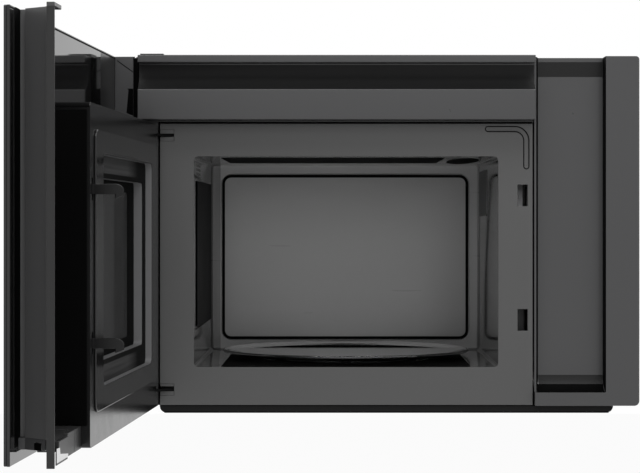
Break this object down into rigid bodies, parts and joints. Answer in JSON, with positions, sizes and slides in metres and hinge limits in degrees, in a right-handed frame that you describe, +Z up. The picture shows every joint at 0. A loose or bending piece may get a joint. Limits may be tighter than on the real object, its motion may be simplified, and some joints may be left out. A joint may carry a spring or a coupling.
{
  "type": "over-the-range microwave oven",
  "caption": "Over-the-range microwave oven with its side-hinged glass door open, a vent bezel, a recessed control side and a glass turntable.",
  "frame": {"origin": "centre of the flat back face that lies against the wall", "axes": "+Z up, +Y towards the wall, the front faces -Y, +X to the viewer's right"},
  "size_m": [0.6686, 0.9711, 0.453],
  "materials": {
    "case_paint": "satin",
    "zinc_steel": "satin",
    "face_paint": "matte",
    "cavity_steel": "satin",
    "black_moulding": "gloss",
    "dark_plastic": "matte",
    "door_paint": "satin",
    "trim_paint": "satin",
    "front_glass": "gloss",
    "window_glass": "gloss",
    "screen_steel": "matte",
    "plate_glass": "gloss",
    "lens_glass": "frosted",
    "mica": "satin",
    "grey_plastic": "matte",
    "aluminium": "satin",
    "motor_steel": "satin",
    "copper": "satin",
    "board_green": "satin",
    "charcoal_fibre": "matte",
    "lamp_white": "gloss",
    "rubber": "matte"
  },
  "bodies": {
    "case": {"cabinet_wrap": "case_paint", "rear_panel": "zinc_steel", "base_pan": "case_paint", "lamp_lens": "lens_glass", "cooktop_lamp": "lamp_white", "face_plate": "face_paint", "front_rail": "case_paint", "cavity_liner": "cavity_steel", "waveguide_cover": "mica", "vent_bezel": "black_moulding", "control_housing": "black_moulding", "hinge_plate_upper": "case_paint", "hinge_plate_lower": "case_paint", "interlock_bracket": "dark_plastic", "interlock_switches": "grey_plastic", "waveguide": "zinc_steel", "magnetron": "aluminium", "transformer_core": "motor_steel", "transformer_windings": "copper", "hv_capacitor": "aluminium", "relay_board": "board_green", "fan_shroud": "zinc_steel", "fan_motor": "motor_steel", "blower_motor": "motor_steel", "blower_housing": "zinc_steel", "exhaust_collar": "zinc_steel", "charcoal_filter": "charcoal_fibre", "cavity_lamp": "lamp_white", "turntable_motor": "motor_steel", "cord_bushing": "rubber", "case_screws": "zinc_steel"},
    "door": {"glass_trim": "trim_paint", "door_glass": "front_glass", "choke_frame": "door_paint", "choke_cover": "dark_plastic", "inner_window": "window_glass", "window_screen": "screen_steel", "handle_channel": "black_moulding", "channel_caps": "black_moulding", "end_wall": "black_moulding", "bottom_rail": "dark_plastic", "ui_cover": "dark_plastic", "ui_board": "board_green", "hinge_lugs": "case_paint", "hinge_pins": "zinc_steel"},
    "latch": {"latch_hooks": "dark_plastic"},
    "turntable": {"turntable_plate": "plate_glass", "turntable_coupler": "dark_plastic"},
    "rollers": {"roller_ring": "dark_plastic"},
    "wheel_1": {"roller_wheel_1": "grey_plastic"},
    "wheel_2": {"roller_wheel_2": "grey_plastic"},
    "wheel_3": {"roller_wheel_3": "grey_plastic"},
    "blower": {"blower_wheels": "grey_plastic", "blower_shaft": "zinc_steel"},
    "fan": {"cooling_fan": "grey_plastic"},
    "damper": {"damper_flap": "zinc_steel"},
    "lever": {"interlock_lever": "dark_plastic"},
    "filter_left": {"grease_filter_left": "aluminium"},
    "filter_right": {"grease_filter_right": "aluminium"}
  },
  "joints": [
    {"name": "door_hinge", "type": "hinge", "parent": "case", "child": "door", "pos_m": [-0.2808, -0.3892, 0], "axis": [0, 0, 1], "range_deg": [0, 93.1]},
    {"name": "latch_lift", "type": "slide", "parent": "door", "child": "latch", "axis": [0, 0, 1], "range_m": [0, 0.005], "stiffness_N_per_m": 200, "springref_m": -0.005},
    {"name": "turntable_spin", "type": "hinge", "parent": "case", "child": "turntable", "pos_m": [-0.0488, -0.2125, -0.1645], "axis": [0, 0, 1], "continuous": true},
    {"name": "roller_ring_spin", "type": "hinge", "parent": "case", "child": "rollers", "pos_m": [-0.0488, -0.2125, -0.1612], "axis": [0, 0, 1], "continuous": true},
    {"name": "roller_wheel_1_spin", "type": "hinge", "parent": "rollers", "child": "wheel_1", "pos_m": [0.03347, -0.165, -0.1612], "axis": [0.866, 0.5, 0], "continuous": true},
    {"name": "roller_wheel_2_spin", "type": "hinge", "parent": "rollers", "child": "wheel_2", "pos_m": [-0.13107, -0.165, -0.1612], "axis": [-0.866, 0.5, 0], "continuous": true},
    {"name": "roller_wheel_3_spin", "type": "hinge", "parent": "rollers", "child": "wheel_3", "pos_m": [-0.0488, -0.3075, -0.1612], "axis": [0, -1, 0], "continuous": true},
    {"name": "blower_spin", "type": "hinge", "parent": "case", "child": "blower", "pos_m": [-0.0488, -0.093, 0.1565], "axis": [1, 0, 0], "continuous": true},
    {"name": "cooling_fan_spin", "type": "hinge", "parent": "case", "child": "fan", "pos_m": [0.222, -0.046, -0.0325], "axis": [0, 1, 0], "continuous": true},
    {"name": "damper_swing", "type": "hinge", "parent": "case", "child": "damper", "pos_m": [-0.0488, -0.03975, 0.2225], "axis": [-1, 0, 0], "range_deg": [0, 75]},
    {"name": "interlock_lever_tip", "type": "hinge", "parent": "case", "child": "lever", "pos_m": [0.164, -0.345, -0.1245], "axis": [-1, 0, 0], "range_deg": [0, 6], "stiffness_Nm_per_rad": 0.02, "springref_deg": -17.19},
    {"name": "filter_left_slide", "type": "slide", "parent": "case", "child": "filter_left", "axis": [0, 1, 0], "range_m": [0, 0.012]},
    {"name": "filter_right_slide", "type": "slide", "parent": "case", "child": "filter_right", "axis": [0, 1, 0], "range_m": [0, 0.012]}
  ],
  "couplings": [
    {"joint": "roller_ring_spin", "follows": "turntable_spin", "ratio": 0.5},
    {"joint": "roller_wheel_1_spin", "follows": "turntable_spin", "ratio": -6.7857},
    {"joint": "roller_wheel_2_spin", "follows": "turntable_spin", "ratio": -6.7857},
    {"joint": "roller_wheel_3_spin", "follows": "turntable_spin", "ratio": -6.7857}
  ]
}
